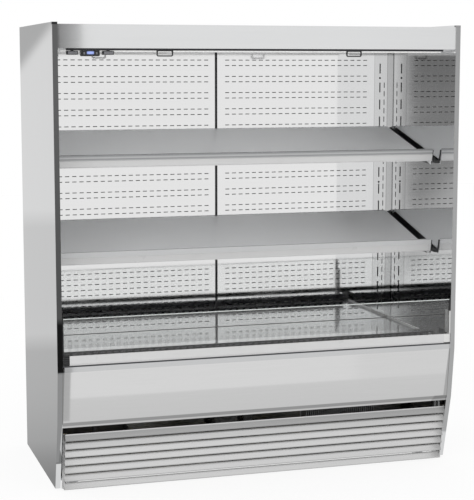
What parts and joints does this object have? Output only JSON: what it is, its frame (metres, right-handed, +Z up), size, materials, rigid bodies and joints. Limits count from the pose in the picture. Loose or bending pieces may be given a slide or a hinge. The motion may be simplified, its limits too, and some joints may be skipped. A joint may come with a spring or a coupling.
{
  "type": "open multideck display fridge",
  "caption": "Open-fronted stainless steel display fridge with tilted shelves, night blind, glass riser and louvred plug-in cooling base.",
  "frame": {"origin": "centre of the footprint on the floor, under the levelling feet", "axes": "+X to the right of someone facing the open front, +Y to the back, +Z up"},
  "size_m": [1.82, 0.87, 1.98],
  "materials": {
    "outer_steel": "satin stainless sheet, fine vertical grain",
    "liner_steel": "bright stainless sheet, nearly mirror-like",
    "shelf_steel": "satin stainless shelf and deck sheet",
    "back_steel": "bright annealed slotted sheet",
    "louvre_steel": "satin stainless louvre blades",
    "plated_steel": "zinc plated sheet",
    "pale_sheet": "pale powder coat",
    "dark_sheet": "black powder coat",
    "black_plastic": "moulded black plastic",
    "pale_plastic": "extruded pale plastic",
    "grey_plastic": "moulded dark grey plastic",
    "foam": "cut polyurethane foam",
    "blind_cloth": "woven metallised blind cloth",
    "roller_metal": "extruded tube",
    "bar_metal": "black anodised bar",
    "clear_glass": "clear toughened glass with polished edge",
    "display_glass": "glossy display window",
    "lamp_cover": "frosted lamp cover",
    "rubber": "soft black edge rubber",
    "coil_metal": "aluminium fins",
    "pipe_metal": "drawn copper pipe",
    "compressor_paint": "black enamel",
    "fan_plastic": "moulded fan wheel",
    "foot_metal": "zinc plated screw foot"
  },
  "bodies": {
    "cabinet": {"end_skins": "outer_steel", "end_liners": "liner_steel", "foam_insulation": "foam", "edge_caps": "black_plastic", "body_liner": "plated_steel", "rear_and_roof_skins": "plated_steel", "canopy_fascia": "outer_steel", "cassette_and_ceiling": "pale_sheet", "air_outlet_grid": "pale_plastic", "led_lamp": "lamp_cover", "controller_housing": "black_plastic", "controller_display": "display_glass", "switch_bezels": "black_plastic", "back_panel_left": "back_steel", "back_panel_right": "back_steel", "end_uprights": "back_steel", "centre_upright": "dark_sheet", "deck_side_strips": "pale_plastic", "sill_and_return_cover": "shelf_steel", "return_grille": "dark_sheet", "glass_riser": "clear_glass", "glass_end_plates": "pale_plastic", "glass_buffers": "rubber", "bumper": "pale_plastic", "bumper_caps": "black_plastic", "front_fascia": "outer_steel", "fan_wall": "plated_steel", "fan_motors": "compressor_paint", "evaporator_and_condenser": "coil_metal", "compressor": "compressor_paint", "refrigerant_pipes": "pipe_metal", "drain_tray_and_pipe": "grey_plastic", "mains_box_and_gland": "grey_plastic", "service_panel": "plated_steel", "service_screws": "foot_metal", "base_frame": "plated_steel"},
    "blind_roller_tube": {"blind_roller": "roller_metal", "blind_roll": "blind_cloth"},
    "blind_bottom_bar": {"blind_bar": "bar_metal", "blind_handles": "black_plastic", "blind_fabric": "blind_cloth"},
    "key_down": {"key_down": "grey_plastic"},
    "key_up": {"key_up": "grey_plastic"},
    "lamp_rocker": {"lamp_rocker": "grey_plastic"},
    "fan_rocker": {"fan_rocker": "grey_plastic"},
    "shelf_top": {"shelf_top": "shelf_steel", "ticket_strip_top": "pale_plastic", "shelf_brackets_top": "dark_sheet"},
    "shelf_middle": {"shelf_middle": "shelf_steel", "ticket_strip_middle": "pale_plastic", "shelf_brackets_middle": "dark_sheet"},
    "deck": {"deck": "shelf_steel"},
    "louvre_grille": {"louvre_grille": "louvre_steel"},
    "evaporator_fan_left": {"evaporator_fan_left": "fan_plastic"},
    "evaporator_fan_right": {"evaporator_fan_right": "fan_plastic"},
    "condenser_fan": {"condenser_fan": "fan_plastic"},
    "foot_front_left": {"foot_front_left": "foot_metal"},
    "foot_rear_left": {"foot_rear_left": "foot_metal"},
    "foot_front_right": {"foot_front_right": "foot_metal"},
    "foot_rear_right": {"foot_rear_right": "foot_metal"}
  },
  "joints": [
    {"name": "blind_roller_turn", "type": "hinge", "parent": "cabinet", "child": "blind_roller_tube", "pos_m": [0, -0.3628, 1.915], "axis": [1, 0, 0], "range_deg": [0, 2253.63], "stiffness_Nm_per_rad": 0.01, "springref_deg": -3437.75},
    {"name": "blind_pull", "type": "slide", "parent": "cabinet", "child": "blind_bottom_bar", "axis": [0, 0, -1], "range_m": [0, 1.185], "deforming": ["blind_fabric"]},
    {"name": "key_down_press", "type": "slide", "parent": "cabinet", "child": "key_down", "axis": [0, 1, 0], "range_m": [0, 0.0008], "stiffness_N_per_m": 400},
    {"name": "key_up_press", "type": "slide", "parent": "cabinet", "child": "key_up", "axis": [0, 1, 0], "range_m": [0, 0.0008], "stiffness_N_per_m": 400},
    {"name": "lamp_rocker_tip", "type": "hinge", "parent": "cabinet", "child": "lamp_rocker", "pos_m": [-0.8175, -0.372, 1.856], "axis": [0, 0, -1], "range_deg": [0, 12]},
    {"name": "fan_rocker_tip", "type": "hinge", "parent": "cabinet", "child": "fan_rocker", "pos_m": [-0.6665, -0.372, 1.856], "axis": [0, 0, -1], "range_deg": [0, 12]},
    {"name": "shelf_top_tilt", "type": "hinge", "parent": "cabinet", "child": "shelf_top", "pos_m": [0, 0.285, 1.4888], "axis": [-1, 0, 0], "range_deg": [0, 14.4]},
    {"name": "shelf_middle_tilt", "type": "hinge", "parent": "cabinet", "child": "shelf_middle", "pos_m": [0, 0.285, 1.0738], "axis": [-1, 0, 0], "range_deg": [0, 14.4]},
    {"name": "deck_lift", "type": "slide", "parent": "cabinet", "child": "deck", "axis": [0, 0, 1], "range_m": [0, 0.25]},
    {"name": "louvre_pull_off", "type": "slide", "parent": "cabinet", "child": "louvre_grille", "axis": [0, -1, 0], "range_m": [0, 0.25]},
    {"name": "evaporator_fan_left_spin", "type": "hinge", "parent": "cabinet", "child": "evaporator_fan_left", "pos_m": [-0.4, -0.194, 0.438], "axis": [0, 1, 0], "continuous": true},
    {"name": "evaporator_fan_right_spin", "type": "hinge", "parent": "cabinet", "child": "evaporator_fan_right", "pos_m": [0.4, -0.194, 0.438], "axis": [0, 1, 0], "continuous": true},
    {"name": "condenser_fan_spin", "type": "hinge", "parent": "cabinet", "child": "condenser_fan", "pos_m": [0.43, -0.152, 0.158], "axis": [0, 1, 0], "continuous": true},
    {"name": "foot_front_left_turn", "type": "hinge", "parent": "cabinet", "child": "foot_front_left", "pos_m": [-0.82, -0.245, 0], "axis": [0, 0, 1], "continuous": true},
    {"name": "foot_rear_left_turn", "type": "hinge", "parent": "cabinet", "child": "foot_rear_left", "pos_m": [-0.82, 0.365, 0], "axis": [0, 0, 1], "continuous": true},
    {"name": "foot_front_right_turn", "type": "hinge", "parent": "cabinet", "child": "foot_front_right", "pos_m": [0.82, -0.245, 0], "axis": [0, 0, 1], "continuous": true},
    {"name": "foot_rear_right_turn", "type": "hinge", "parent": "cabinet", "child": "foot_rear_right", "pos_m": [0.82, 0.365, 0], "axis": [0, 0, 1], "continuous": true}
  ],
  "couplings": [
    {"joint": "blind_pull", "follows": "blind_roller_turn", "m_per_rad": 0.03}
  ]
}
